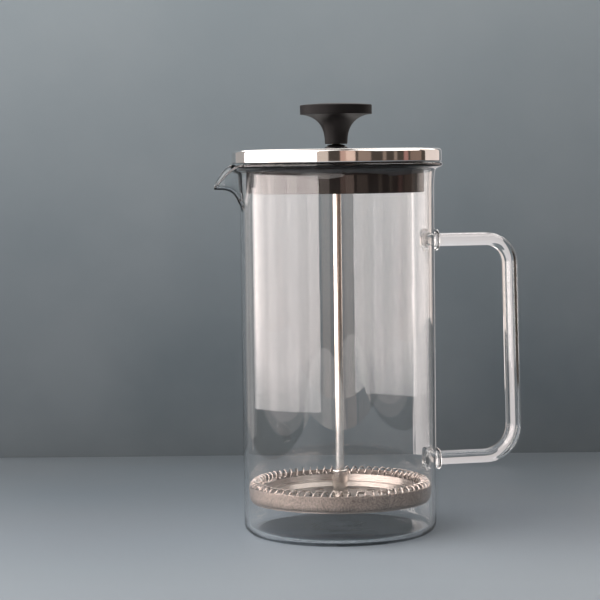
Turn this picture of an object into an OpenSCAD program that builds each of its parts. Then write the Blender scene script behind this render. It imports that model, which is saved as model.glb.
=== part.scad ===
// French press: glass beaker with a fused glass handle and pouring beak, a steel lid
// with a moulded collar that hangs in the mouth, and a plunger whose sprung filter slides in the beaker.
// Units are millimetres. +Z is up, the origin is the centre of the beaker's flat underside,
// the handle points along +X and the beak along -X.

/* [Beaker] */
// Outside diameter of the straight glass wall
beaker_d = 100; // [80:1:130]
// Height from the table to the top of the flared lip
beaker_h = 191.2; // [150:0.2:260]
// Thickness of the glass wall
glass_wall = 2.2; // [1.8:0.1:3]
// Thickness of the glass floor
glass_floor = 2.6; // [2:0.1:5]
// Outside radius of the corner between wall and floor
base_round = 5.6; // [4:0.2:8]
// How far the lip flares out beyond the straight wall
lip_flare = 4.5; // [3:0.5:6]
// Height over which the wall bends out into the lip
lip_rise = 13.4; // [8:0.1:18]

/* [Beak] */
// Reach of the beak's tip beyond the straight wall
beak_reach = 15.6; // [12:0.2:20]
// Drop from the lip to the underside of the tip
beak_drop = 13.6; // [10:0.2:18]
// Height of the beak where it leaves the wall
beak_depth = 23; // [18:0.5:28]
// Half width of the beak where it leaves the wall
beak_half_w = 11; // [8:0.5:14]
// Radius of the tip
tip_r = 2.2; // [1.8:0.1:3]
// Thickness of the drawn glass in the beak
beak_wall = 1.5; // [1.2:0.1:2]

/* [Handle] */
// Height of the upper arm's middle below the lip
handle_top_drop = 40.5; // [30:0.5:60]
// Height of the lower arm's middle above the table
handle_foot_z = 35.8; // [20:0.2:50]
// Reach of the handle's outer face from the beaker's straight wall
handle_reach = 49; // [38:0.5:60]
// Width of the glass band, across the handle
band_w = 11; // [8:0.5:14]
// Thickness of the glass band
band_t = 6.7; // [5.6:0.1:8]
// Radius of the rounded edges of the band
band_round = 2.6; // [1:0.1:2.7]
// Outside radius of the upper bend
upper_bend_r = 16.5; // [12:0.5:22]
// Outside radius of the lower bend
lower_bend_r = 19.5; // [12:0.5:24]
// Outward lean of the grip, in degrees
grip_lean = 1.1; // [0:0.1:3]
// How far each fused boss stands out of the wall
boss_out = 4; // [3:0.2:6]

/* [Lid] */
// How far the lid cap reaches beyond the beaker's straight wall
lid_over = 4; // [3:0.25:8]
// Height of the lid cap's skirt
lid_h = 6.8; // [5:0.1:10]
// Sheet thickness of the cap
cap_t = 0.7; // [0.5:0.05:1]
// Outside radius of the rounded edge of the cap
cap_round = 1.6; // [1:0.1:2.5]
// Width of the hem turned in under the cap
hem_w = 2.2; // [1.5:0.1:3]
// Gap between the hem and the glass lip
seat_gap = 0.3; // [0.2:0.05:0.5]
// Thickness of the plate that closes the cap
base_t = 0.7; // [0.5:0.05:1]
// Gap between the collar and the inside of the glass
collar_gap = 2.8; // [2:0.1:10]
// Height of the collar below the lid
collar_h = 16.2; // [10:0.2:25]
// Wall thickness of the moulded collar
collar_t = 1.4; // [1:0.1:2]
// Width of the collar's flange under the lid
flange_w = 3.5; // [3:0.5:6]
// Width of the parting line's groove in the collar
seam_w = 0.3; // [0.2:0.05:0.5]
// Depth of the parting line's groove
seam_t = 0.2; // [0.1:0.05:0.4]
// Direction of the parting line, in degrees round from the handle
seam_a = -102; // [-180:1:180]

/* [Bush] */
// Diameter of the domed head of the bush
bush_head_d = 12; // [10:0.5:16]
// Height of the domed head
bush_head_h = 2.5; // [2:0.1:4]
// Diameter of the threaded stem of the bush
bush_stem_d = 8; // [7:0.5:9]
// Radial running clearance between the rod and the bush
rod_fit = 0.06; // [0.03:0.01:0.1]
// Width across the flats of the bush nut
bush_nut_af = 13; // [12:0.5:16]
// Height of the bush nut
bush_nut_h = 3.2; // [2.5:0.1:5]
// Thickness of both washers
washer_t = 0.8; // [0.5:0.1:1.2]

/* [Knob] */
// Diameter of the knob's disc
knob_d = 37; // [30:0.5:45]
// Height of the knob
knob_h = 21; // [18:0.5:28]
// Height of the disc's upright edge
knob_edge_h = 4.9; // [2.5:0.1:6]
// Height of the crown of the disc
knob_crown = 0.9; // [0.5:0.1:1.5]
// Diameter of the knob's neck
neck_d = 11.7; // [11:0.1:14]
// Gap left between the knob and the bush when the plunger is down
knob_gap = 0.3; // [0.3:0.05:0.6]
// Diameter of the metal insert in the knob
insert_d = 7.4; // [6.5:0.1:8]
// Length of the metal insert
insert_l = 12; // [8:0.5:14]

/* [Rod] */
// Diameter of the rod
rod_d = 4.5; // [4:0.1:6]
// Diameter of the rod's threaded ends
thread_d = 3.9; // [3:0.1:5]
// Length of the upper threaded end
upper_thread_l = 10; // [7:0.5:12]
// Clearance between pieces that are assembled by hand
assembly_fit = 0.05; // [0.02:0.01:0.1]

/* [Filter] */
// Gap between the filter's rim and the inside of the glass
filter_gap = 0.3; // [0.3:0.05:0.6]
// Height of the underside of the support plate above the table
filter_z = 16.8; // [11:0.2:20]
// Height of the mesh dish
mesh_h = 8; // [6:0.2:10]
// Thickness of the woven mesh
mesh_t = 0.3; // [0.2:0.05:0.4]
// Thickness of the filter's plates
plate_t = 0.7; // [0.5:0.05:1]
// Inset of the support plate's edge from the mesh's rim
support_inset = 1.8; // [1.5:0.1:3]
// Outside diameter of the rim spring's coil
coil_d = 6.4; // [5:0.1:7.5]
// Diameter of the spring wire
wire_d = 0.7; // [0.5:0.05:0.9]
// Number of turns in the rim spring
coil_turns = 68; // [50:1:80]
// Outside diameter of the filter hub
hub_d = 8; // [7.5:0.5:11]
// Length of the filter hub
hub_l = 14; // [8:0.5:18]
// Diameter of the flow holes in both plates
flow_hole_d = 5; // [3:0.5:6]
// Width across the flats of the clamp nut
clamp_nut_af = 7; // [6:0.5:9]
// Height of the clamp nut
clamp_nut_h = 2.8; // [2:0.1:3.5]

/* [Hidden] */

// Fineness of true circles, of rounded corners and of the beak's hulls
$fn = 96;
arc_n = 8;
hull_fn = 24;
// Overlap that makes cuts run clean through
cut = 1;
// Height that the beak's channel is cut above its own edge
beak_lift = 5;

// Beaker
beaker_r = beaker_d / 2;
bore_r = beaker_r - glass_wall;
mid_r = beaker_r - glass_wall / 2;
lip_mid_z = beaker_h - glass_wall / 2;
lip_steps = 14;
// The lip's bend is a slow part and a sharp part, each a power of the height
lip_slow = 0.2;
lip_slow_power = 2;
lip_sharp_power = 12;
lip_probe = 0.001;
// Angle left open at each side of the lip's rounded end
lip_end_a = 20;

// Beak stations: distance from the axis, half width, height of the underside and of the edge
root_in = 1;
neck_share = 0.26;
neck_w_share = 0.6;
neck_drop = 2.8;
root_edge_drop = 0.8;
edge_bar = 0.2;
root_x = bore_r - root_in;
neck_x = beaker_r + beak_reach * neck_share;
tip_x = beaker_r + beak_reach - tip_r;
neck_half_w = beak_half_w * neck_w_share;
root_low_z = beaker_h - beak_depth;
tip_low_z = beaker_h - beak_drop;
neck_low_z = tip_low_z - neck_drop;
root_edge_z = beaker_h - root_edge_drop;
neck_edge_z = beaker_h - neck_drop;
tip_edge_z = tip_low_z + 2 * tip_r;

// Handle, in its own plane: x from the axis, y upwards
handle_x = beaker_r + handle_reach;
boss_x = beaker_r + boss_out;
top_arm_z = beaker_h - handle_top_drop;
upper_r = upper_bend_r - band_t / 2;
lower_r = lower_bend_r - band_t / 2;
lower_c = [handle_x - lower_bend_r, handle_foot_z + lower_r];
function dir(a) = [cos(a), sin(a)];
grip_low = lower_c + lower_r * dir(grip_lean);
grip_l = (top_arm_z - upper_r + upper_r * sin(grip_lean) - grip_low.y) / cos(grip_lean);
upper_c = grip_low + grip_l * dir(grip_lean + 90) - upper_r * dir(grip_lean);
bend_steps = 9;
band_round_steps = 3;
boss_over_h = 2.4;
boss_over_w = 3;
boss_h = band_t + boss_over_h;
boss_w = band_w + boss_over_w;
boss_foot = 1;
boss_foot_t = 1.2;

// Lid
lid_r = beaker_r + lid_over;
lid_z = beaker_h + seat_gap;
lid_top = lid_z + lid_h;
base_z = lid_z + cap_t;
collar_r = bore_r - collar_gap;
collar_z = base_z - collar_h;
stem_hole_r = bush_stem_d / 2 + assembly_fit;
rod_r = rod_d / 2;
bush_bore_r = rod_r + rod_fit;
bush_top = lid_top + bush_head_h;
bush_washer_z = base_z - washer_t;
bush_nut_z = bush_washer_z - bush_nut_h;
stem_over = 1;
stem_end_z = bush_nut_z - stem_over;
washer_over = 3;

// Knob
knob_z = bush_top + knob_gap;
knob_top = knob_z + knob_h;
knob_r = knob_d / 2;
neck_r = neck_d / 2;
edge_low_z = knob_top - knob_crown - knob_edge_h;
flare_h = edge_low_z - knob_z;
flare_steps = 14;
knob_ease = 0.8;
// How sharply the neck widens into the disc, and how flat it runs under the disc
flare_power = 2.3;
under_power = 1.6;

// Filter stack, upwards from the support plate
thread_r = thread_d / 2;
filter_r = bore_r - filter_gap;
mesh_z = filter_z + plate_t;
mesh_top = mesh_z + mesh_h;
spring_z = mesh_z + mesh_t;
hub_z = spring_z + plate_t;
rod_foot_z = hub_z + hub_l;
support_r = filter_r - support_inset;
clamp_washer_z = filter_z - washer_t;
clamp_nut_z = clamp_washer_z - clamp_nut_h;
thread_over = 0.6;
thread_end_z = clamp_nut_z - thread_over;
thread_hole_r = thread_r + assembly_fit;
// The mesh dish turns up over this height, and its lower edge is this far inside the rim
mesh_heel = 2.2;
heel_in = 0.6;
// The coil ring lies inside the mesh and above the spring plate's channel
coil_clear = 0.2;
coil_ring_r = filter_r - mesh_t - coil_clear - coil_d / 2;
channel_rise = 3.2;
channel_z = spring_z + channel_rise;
coil_ring_z = channel_z + plate_t + coil_clear + coil_d / 2;
helix_r = (coil_d - wire_d) / 2;
coil_seg = 6;
wire_seg = 5;
coil_probe = 0.01;
// The spring plate's profile: flat middle, step, ridge and channel under the coil
ridge_gap = 1.4;
ridge_rise = 2.4;
ridge_half = 0.5;
ridge_slope = 1.1;
step_in = 6;
step_run = 1.4;
step_rise = 2.2;
rim_gap = 0.4;
ridge_r = coil_ring_r - coil_d / 2 - ridge_gap;
ridge_z = channel_z + ridge_rise;
step_r = ridge_r - step_in;
step_z = spring_z + step_rise;
channel_out_r = filter_r - mesh_t - rim_gap;
// Flow holes: how many in each ring, and each ring's radius as a share of the filter's
hole_counts = [8, 16, 24];
hole_rings = filter_r * [0.3, 0.52, 0.76];
hole_fn = 32;

// Points of a circular arc about c from angle a0 to a1
function arc(c, r, a0, a1, n = arc_n) =
  [for (i = [0:n]) c + r * [cos(a0 + (a1 - a0) * i / n), sin(a0 + (a1 - a0) * i / n)]];

// Middle line of the lip: a slow bend that turns sharply outwards at the top
function lip_bend(u) = lip_slow * u ^ lip_slow_power + (1 - lip_slow) * u ^ lip_sharp_power;
function lip_mid(u) = [mid_r + lip_flare * lip_bend(u), lip_mid_z - lip_rise * (1 - u)];
function unit(v) = v / norm(v);
function lip_normal(u) =
  let (d = unit(lip_mid(u + lip_probe) - lip_mid(u - lip_probe))) [d.y, -d.x];
function lip_side(side, n = lip_steps) =
  [for (i = [0:n]) lip_mid(i / n) + side * glass_wall / 2 * lip_normal(i / n)];
function reversed(list) = [for (i = [len(list) - 1:-1:0]) list[i]];

// Outline of a rounded rectangle centred on the origin
function round_rect(w, h, r, n = arc_n) = concat(
  arc([w / 2 - r, h / 2 - r], r, 0, 90, n),
  arc([r - w / 2, h / 2 - r], r, 90, 180, n),
  arc([r - w / 2, r - h / 2], r, 180, 270, n),
  arc([w / 2 - r, r - h / 2], r, 270, 360, n));

// ---- Glass ----

module beaker_shell() {
  inner_round = base_round - glass_wall;
  lip_end = lip_mid(1);
  lip_end_n = lip_normal(1);
  end_a = atan2(lip_end_n.y, lip_end_n.x);
  rotate_extrude()
    polygon(concat(
      [[0, 0]],
      arc([beaker_r - base_round, base_round], base_round, -90, 0),
      lip_side(1),
      arc(lip_end, glass_wall / 2, end_a + lip_end_a, end_a + 180 - lip_end_a),
      reversed(lip_side(-1)),
      arc([bore_r - inner_round, glass_floor + inner_round], inner_round, 0, -90),
      [[0, glass_floor]]));
}

// One cross-section of the beak: a round underside and a straight edge above it
module beak_station(x, half_w, low_z, edge_z, lift) {
  translate([-x, 0, low_z + half_w])
    sphere(half_w, $fn = hull_fn);
  translate([-x, 0, edge_z + lift])
    cube([edge_bar, 2 * half_w, edge_bar], center = true);
}

module beak_body(inset, lift) {
  hull() {
    beak_station(root_x, beak_half_w - inset, root_low_z + inset, root_edge_z, lift);
    beak_station(neck_x, neck_half_w - inset, neck_low_z + inset, neck_edge_z, lift);
  }
  hull() {
    beak_station(neck_x, neck_half_w - inset, neck_low_z + inset, neck_edge_z, lift);
    beak_station(tip_x, tip_r - inset / 2, tip_low_z + inset, tip_edge_z, lift);
  }
}

module beaker() {
  color([0.85, 0.89, 0.9, 0.35])
    difference() {
      union() {
        beaker_shell();
        difference() {
          beak_body(0, 0);
          cylinder(r = bore_r + glass_wall / 2, h = beaker_h + cut);
        }
      }
      beak_body(beak_wall, beak_lift);
    }
}

// Middle line of the handle: [point, angle of the outward normal] at each ring
handle_rings = concat(
  [[[boss_x, top_arm_z], 90]],
  [for (i = [0:bend_steps])
    let (a = 90 + (grip_lean - 90) * i / bend_steps) [upper_c + upper_r * dir(a), a]],
  [for (i = [0:bend_steps])
    let (a = grip_lean - (90 + grip_lean) * i / bend_steps) [lower_c + lower_r * dir(a), a]],
  [[[boss_x, handle_foot_z], -90]]);

// The rounded band carried along its middle line, closed at both ends
module handle() {
  section = round_rect(band_t, band_w, band_round, band_round_steps);
  m = len(section);
  last = len(handle_rings) - 1;
  points = [for (ring = handle_rings, s = section)
    let (q = ring[0] + s.x * dir(ring[1])) [q.x, s.y, q.y]];
  sides = [for (k = [0:last - 1], j = [0:m - 1])
    let (j2 = (j + 1) % m) [k * m + j, k * m + j2, (k + 1) * m + j2, (k + 1) * m + j]];
  start_cap = [for (j = [m - 1:-1:0]) j];
  end_cap = [for (j = [0:m - 1]) last * m + j];
  color([0.85, 0.89, 0.9, 0.35])
    polyhedron(points, concat(sides, [start_cap, end_cap]), convexity = 4);
}

// Fused boss between the wall and one arm: a wide foot and a narrower neck
module boss(z) {
  color([0.85, 0.89, 0.9, 0.35])
    difference() {
      translate([0, 0, z])
        rotate([90, 0, 90]) {
          linear_extrude(height = boss_x)
            polygon(round_rect(boss_w, boss_h, boss_h / 2 - boss_foot));
          linear_extrude(height = beaker_r + boss_foot_t)
            polygon(round_rect(boss_w + 2 * boss_foot, boss_h + 2 * boss_foot, boss_h / 2));
        }
      cylinder(r = beaker_r, h = beaker_h);
    }
}

module upper_boss() {
  boss(top_arm_z);
}

module lower_boss() {
  boss(handle_foot_z);
}

// ---- Lid ----

module lid_cap() {
  color([0.78, 0.78, 0.79])
    rotate_extrude()
      polygon(concat(
        [[stem_hole_r, lid_top]],
        reversed(arc([lid_r - cap_round, lid_top - cap_round], cap_round, 0, 90)),
        arc([lid_r - cap_t, lid_z + cap_t], cap_t, 0, -90, arc_n / 2),
        [[lid_r - hem_w, lid_z], [lid_r - hem_w, base_z], [lid_r - cap_t, base_z]],
        arc([lid_r - cap_round, lid_top - cap_round], cap_round - cap_t, 0, 90),
        [[stem_hole_r, lid_top - cap_t]]));
}

module lid_base() {
  color([0.62, 0.62, 0.63])
    translate([0, 0, base_z])
      difference() {
        cylinder(r = lid_r - cap_t - assembly_fit, h = base_t);
        translate([0, 0, -cut])
          cylinder(r = stem_hole_r, h = base_t + 2 * cut);
      }
}

module lid_collar() {
  color([0.04, 0.035, 0.035])
    difference() {
      translate([0, 0, collar_z])
        cylinder(r = collar_r, h = collar_h);
      translate([0, 0, collar_z - cut])
        cylinder(r = collar_r - collar_t, h = collar_h - collar_t + cut);
      translate([0, 0, collar_z - cut])
        cylinder(r = collar_r - collar_t - flange_w, h = collar_h + 2 * cut);
      rotate([0, 0, seam_a])
        translate([collar_r - seam_t, -seam_w / 2, collar_z - cut])
          cube([seam_t + cut, seam_w, collar_h + 2 * cut]);
    }
}

module lid_bush() {
  color([0.03, 0.03, 0.03])
    difference() {
      rotate_extrude()
        polygon(concat(
          [[0, bush_top]],
          [for (i = [1:arc_n])
            [bush_head_d / 2 * sin(90 * i / arc_n), lid_top + bush_head_h * cos(90 * i / arc_n)]],
          [[bush_stem_d / 2, lid_top], [bush_stem_d / 2, stem_end_z], [0, stem_end_z]]));
      translate([0, 0, stem_end_z - cut])
        cylinder(r = bush_bore_r, h = bush_top - stem_end_z + 2 * cut);
    }
}

module flat_washer(z, hole_r, rim_r) {
  translate([0, 0, z])
    difference() {
      cylinder(r = rim_r, h = washer_t);
      translate([0, 0, -cut])
        cylinder(r = hole_r, h = washer_t + 2 * cut);
    }
}

module hex_nut(z, flats, h, hole_r) {
  hex_r = flats / 2 / cos(30);
  translate([0, 0, z])
    difference() {
      cylinder(r = hex_r, h = h, $fn = 6);
      translate([0, 0, -cut])
        cylinder(r = hole_r, h = h + 2 * cut);
    }
}

module bush_washer() {
  color([0.7, 0.7, 0.7])
    flat_washer(bush_washer_z, stem_hole_r, bush_nut_af / 2 + washer_over);
}

module bush_nut() {
  color([0.7, 0.7, 0.7])
    hex_nut(bush_nut_z, bush_nut_af, bush_nut_h, stem_hole_r);
}

// ---- Plunger ----

module plunger_rod() {
  color([0.8, 0.78, 0.75]) {
    translate([0, 0, thread_end_z])
      cylinder(r = thread_r, h = rod_foot_z - thread_end_z);
    translate([0, 0, rod_foot_z])
      cylinder(r = rod_r, h = knob_z - rod_foot_z);
    translate([0, 0, knob_z])
      cylinder(r = thread_r, h = upper_thread_l);
  }
}

module knob() {
  color([0.05, 0.05, 0.055])
    difference() {
      rotate_extrude()
        polygon(concat(
          [[0, knob_z]],
          [for (i = [0:flare_steps])
            let (u = i / flare_steps)
              [neck_r + (knob_r - neck_r) * u ^ flare_power, knob_z + flare_h * (1 - (1 - u) ^ under_power)]],
          [[knob_r, knob_top - knob_crown - knob_ease], [knob_r - knob_ease, knob_top - knob_crown]],
          [for (i = [arc_n - 1:-1:0])
            let (u = i / arc_n)
              [(knob_r - knob_ease) * u, knob_top - knob_crown * u ^ 2]]));
      translate([0, 0, knob_z - cut])
        cylinder(r = insert_d / 2, h = insert_l + cut);
    }
}

module knob_insert() {
  color([0.75, 0.62, 0.35])
    difference() {
      translate([0, 0, knob_z])
        cylinder(r = insert_d / 2, h = insert_l);
      translate([0, 0, knob_z - cut])
        cylinder(r = thread_hole_r, h = upper_thread_l + cut);
    }
}

module filter_hub() {
  color([0.75, 0.74, 0.72])
    difference() {
      translate([0, 0, hub_z])
        cylinder(r = hub_d / 2, h = hub_l);
      translate([0, 0, hub_z - cut])
        cylinder(r = thread_hole_r, h = hub_l + 2 * cut);
    }
}

// The first rings of flow holes, through a plate between two heights
module flow_holes(ring_count, z0, z1) {
  for (k = [0:ring_count - 1], i = [0:hole_counts[k] - 1])
    rotate([0, 0, 360 * (i + 0.5) / hole_counts[k]])
      translate([hole_rings[k], 0, z0])
        cylinder(d = flow_hole_d, h = z1 - z0, $fn = hole_fn);
}

module spring_plate() {
  // Underside of the plate, from the middle to the rim
  low = [[thread_hole_r, spring_z], [step_r, spring_z], [step_r + step_run, step_z],
    [ridge_r - ridge_half - ridge_slope, step_z], [ridge_r - ridge_half, ridge_z],
    [ridge_r + ridge_half, ridge_z], [ridge_r + ridge_half + ridge_slope, channel_z],
    [channel_out_r, channel_z]];
  color([0.72, 0.71, 0.69])
    difference() {
      rotate_extrude()
        polygon(concat(low, reversed([for (p = low) p + [0, plate_t]])));
      flow_holes(2, spring_z - cut, hub_z + cut);
    }
}

// Point on the coil's middle line at turn t
function coil_point(t) =
  let (a = 360 * t / coil_turns, b = 360 * t, r = coil_ring_r + helix_r * cos(b))
    [r * cos(a), r * sin(a), coil_ring_z + helix_r * sin(b)];

module rim_spring() {
  rings = coil_turns * coil_seg;
  points = [for (k = [0:rings - 1])
    let (t = k / coil_seg, a = 360 * t / coil_turns, p = coil_point(t),
      d = unit(coil_point(t + coil_probe) - coil_point(t - coil_probe)),
      out = unit(p - [coil_ring_r * cos(a), coil_ring_r * sin(a), coil_ring_z]),
      side = cross(d, out))
      for (j = [0:wire_seg - 1])
        p + wire_d / 2 * (out * cos(360 * j / wire_seg) + side * sin(360 * j / wire_seg))];
  faces = [for (k = [0:rings - 1], j = [0:wire_seg - 1])
    let (k2 = (k + 1) % rings, j2 = (j + 1) % wire_seg,
      a = k * wire_seg + j, b = k2 * wire_seg + j, c = k2 * wire_seg + j2, d = k * wire_seg + j2)
      each [[a, b, c], [a, c, d]]];
  color([0.7, 0.68, 0.65])
    polyhedron(points, faces, convexity = 10);
}

module mesh_screen() {
  heel_r = filter_r - mesh_heel;
  outer = [[thread_hole_r, mesh_z], [heel_r, mesh_z], [filter_r - heel_in, mesh_z + mesh_heel],
    [filter_r, mesh_z + 2 * mesh_heel], [filter_r, mesh_top]];
  inner = [[thread_hole_r, mesh_z + mesh_t], [heel_r - mesh_t / 2, mesh_z + mesh_t],
    [filter_r - heel_in - mesh_t, mesh_z + mesh_heel + mesh_t / 4],
    [filter_r - mesh_t, mesh_z + 2 * mesh_heel], [filter_r - mesh_t, mesh_top]];
  color([0.62, 0.57, 0.53])
    rotate_extrude()
      polygon(concat(outer, reversed(inner)));
}

module support_plate() {
  color([0.68, 0.67, 0.65])
    difference() {
      translate([0, 0, filter_z])
        cylinder(r = support_r, h = plate_t);
      translate([0, 0, filter_z - cut])
        cylinder(r = thread_hole_r, h = plate_t + 2 * cut);
      flow_holes(3, filter_z - cut, mesh_z + cut);
    }
}

module clamp_washer() {
  color([0.7, 0.7, 0.7])
    flat_washer(clamp_washer_z, thread_hole_r, clamp_nut_af / 2 + washer_over);
}

module clamp_nut() {
  color([0.7, 0.7, 0.7])
    hex_nut(clamp_nut_z, clamp_nut_af, clamp_nut_h, thread_hole_r);
}

beaker();
handle();
upper_boss();
lower_boss();
lid_cap();
lid_base();
lid_collar();
lid_bush();
bush_washer();
bush_nut();
plunger_rod();
knob();
knob_insert();
filter_hub();
spring_plate();
rim_spring();
mesh_screen();
support_plate();
clamp_washer();
clamp_nut();
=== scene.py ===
"""French press: a glass beaker with a fused handle, a polished steel lid and a sprung mesh plunger.

Every new piece is a surface worked out with numpy from the frame's boxes, in metres, in the part's frame.
"""
import math

import bpy
import numpy as np
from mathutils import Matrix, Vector


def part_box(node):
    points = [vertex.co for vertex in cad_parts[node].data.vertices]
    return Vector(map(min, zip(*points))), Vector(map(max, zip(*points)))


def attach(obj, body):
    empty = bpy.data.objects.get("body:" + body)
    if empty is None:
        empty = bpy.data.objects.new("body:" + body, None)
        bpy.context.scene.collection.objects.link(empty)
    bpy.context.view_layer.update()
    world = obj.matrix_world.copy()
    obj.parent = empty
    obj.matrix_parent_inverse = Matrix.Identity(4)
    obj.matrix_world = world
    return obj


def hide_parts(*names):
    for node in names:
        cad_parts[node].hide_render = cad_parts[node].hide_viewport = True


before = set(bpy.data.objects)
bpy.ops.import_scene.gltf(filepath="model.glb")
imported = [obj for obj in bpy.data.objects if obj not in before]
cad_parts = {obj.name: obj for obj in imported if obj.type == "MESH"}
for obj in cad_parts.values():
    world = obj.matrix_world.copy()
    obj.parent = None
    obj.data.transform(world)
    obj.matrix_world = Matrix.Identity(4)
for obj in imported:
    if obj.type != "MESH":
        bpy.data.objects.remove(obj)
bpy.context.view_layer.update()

MM = 0.001
TAU = 2 * math.pi

# ---------------------------------------------------------------- sizes from the frame


def span(node):
    """Lowest and highest corner of a CAD node as two numpy arrays."""
    low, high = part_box(node)
    return np.array(low), np.array(high)


beaker_low, beaker_high = span("beaker")
handle_low, handle_high = span("handle")
cap_low, cap_high = span("lid_cap")
collar_low, collar_high = span("lid_collar")
bush_low, bush_high = span("lid_bush")
knob_low, knob_high = span("knob")
rod_low, rod_high = span("plunger_rod")
hub_low, hub_high = span("filter_hub")
spring_low, spring_high = span("rim_spring")
screen_low, screen_high = span("mesh_screen")

# Glass
LIP_R = beaker_high[1]
RIM_Z = beaker_high[2]
TIP_R = -beaker_low[0]
GLASS_WALL = 2.2 * MM
GLASS_FLOOR = 2.6 * MM
BOSS_OUT = 4.0 * MM
WALL_R = handle_low[0] - BOSS_OUT

# ---------------------------------------------------------------- meshes


def make_piece(name, points, quads, triangles=None, sharp=35):
    """A mesh object from vertex positions and face index arrays, smooth except at edges over sharp degrees.

    The faces are turned over together when the enclosed volume, the sum of the tetrahedra between each
    face and the origin, comes out negative, so that they always point outward.
    """
    points = np.asarray(points, float).reshape(-1, 3)
    quads = np.asarray(quads, int).reshape(-1, 4)
    triangles = np.zeros((0, 3), int) if triangles is None else np.asarray(triangles, int).reshape(-1, 3)
    tetra = np.concatenate([quads[:, :3], quads[:, [0, 2, 3]], triangles])
    a, b, c = (points[tetra[:, k]] for k in range(3))
    if np.einsum("ij,ij->", a, np.cross(b, c)) < 0:
        quads, triangles = quads[:, ::-1], triangles[:, ::-1]
    corners = np.concatenate([quads.ravel(), triangles.ravel()])
    starts = np.concatenate([np.arange(len(quads)) * 4, len(quads) * 4 + np.arange(len(triangles)) * 3])
    mesh = bpy.data.meshes.new(name)
    mesh.vertices.add(len(points))
    mesh.vertices.foreach_set("co", points.ravel())
    mesh.loops.add(len(corners))
    mesh.loops.foreach_set("vertex_index", corners)
    mesh.polygons.add(len(starts))
    mesh.polygons.foreach_set("loop_start", starts)
    mesh.update(calc_edges=True)
    mesh.polygons.foreach_set("use_smooth", np.ones(len(starts), bool))
    mesh.set_sharp_from_angle(angle=math.radians(sharp))
    piece = bpy.data.objects.new(name, mesh)
    bpy.context.scene.collection.objects.link(piece)
    return piece


def grid_quads(rows, columns, wrap_rows, wrap_columns):
    """Index quads of a rows by columns grid, joined to itself where it wraps."""
    i = np.arange(rows if wrap_rows else rows - 1)[:, None]
    j = np.arange(columns if wrap_columns else columns - 1)[None, :]
    i2, j2 = (i + 1) % rows, (j + 1) % columns
    corner = [i * columns + j, i * columns + j2, i2 * columns + j2, i2 * columns + j]
    return np.stack(corner, -1).reshape(-1, 4)


def capped(name, rings, ends, sharp=35):
    """A grid of rings, shape (rings, sides, 3), closed at each end with a fan of triangles to one point."""
    count, sides = rings.shape[:2]
    j = np.arange(sides)
    j2, last, first_end = (j + 1) % sides, (count - 1) * sides, count * sides
    fans = np.concatenate([
        np.stack([j2, j, np.full(sides, first_end)], -1),
        np.stack([last + j, last + j2, np.full(sides, first_end + 1)], -1)])
    points = np.concatenate([rings.reshape(-1, 3), ends])
    return make_piece(name, points, grid_quads(count, sides, False, True), fans, sharp)


def unit(angle):
    """Cosine and sine side by side: unit vectors in a plane at the given angles, in radians."""
    return np.stack([np.cos(angle), np.sin(angle)], -1)


def arc(centre, radius, start, end, steps=8):
    """Points of a circular arc in the (r, z) plane, angles in degrees."""
    return np.asarray(centre) + radius * unit(np.radians(np.linspace(start, end, steps + 1)))


def outline(*runs):
    """One (r, z) outline from points and arcs in a row."""
    return np.concatenate([np.asarray(run, float).reshape(-1, 2) for run in runs])


def guarded(profile, closed, longest=4 * MM, guard=0.15 * MM):
    """The outline with extra points on its long straight stretches, close to each end and then evenly."""
    ends = np.roll(profile, -1, 0) if closed else profile[1:]
    out = []
    for start, end in zip(profile, ends):
        length = float(np.linalg.norm(end - start))
        shares = [0.0]
        if length > 4 * guard:
            inner = np.linspace(guard / length, 1 - guard / length, 2 + int(length / longest))
            shares += list(inner)
        out.append(start + np.outer(shares, end - start))
    if not closed:
        out.append(profile[-1:])
    return np.concatenate(out)


def turned(name, profile, segments=192, closed=False, sharp=35, ripple=None):
    """A surface of revolution: the (r, z) outline carried round Z.

    A closed outline makes a ring. An open one starts and ends on the axis and gets a pole at each end.
    ripple, if given, is a function of (r, z, angle) arrays that returns a new r.
    """
    profile = guarded(np.asarray(profile, float), closed)
    angle = np.arange(segments) * TAU / segments
    body = profile if closed else profile[1:-1]
    r = np.repeat(body[:, :1], segments, 1)
    z = np.repeat(body[:, 1:], segments, 1)
    a = np.repeat(angle[None], len(body), 0)
    if ripple is not None:
        r = ripple(r, z, a)
    rings = np.stack([r * np.cos(a), r * np.sin(a), z], -1)
    if closed:
        return make_piece(name, rings, grid_quads(len(body), segments, True, True), sharp=sharp)
    return capped(name, rings, [[0, 0, profile[0, 1]], [0, 0, profile[-1, 1]]], sharp)


def swept(name, rings, closed=False, sharp=35):
    """A tube through rings of points, shape (rings, sides, 3), joined end to end or with a fan at each."""
    if closed:
        return make_piece(name, rings, grid_quads(*rings.shape[:2], True, True), sharp=sharp)
    return capped(name, rings, rings[[0, -1]].mean(1), sharp)


# ---------------------------------------------------------------- shaders


class Amount:
    """A number on a socket. Arithmetic on it adds Math nodes to the same shader."""

    def __init__(self, shader, socket):
        self.shader, self.socket = shader, socket

    def __add__(self, other):
        return self.shader.math("ADD", self, other)

    def __sub__(self, other):
        return self.shader.math("SUBTRACT", self, other)

    def __rsub__(self, other):
        return self.shader.math("SUBTRACT", other, self)

    def __mul__(self, other):
        return self.shader.math("MULTIPLY", self, other)

    def __pow__(self, other):
        return self.shader.math("POWER", self, other)

    __radd__, __rmul__ = __add__, __mul__


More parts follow.
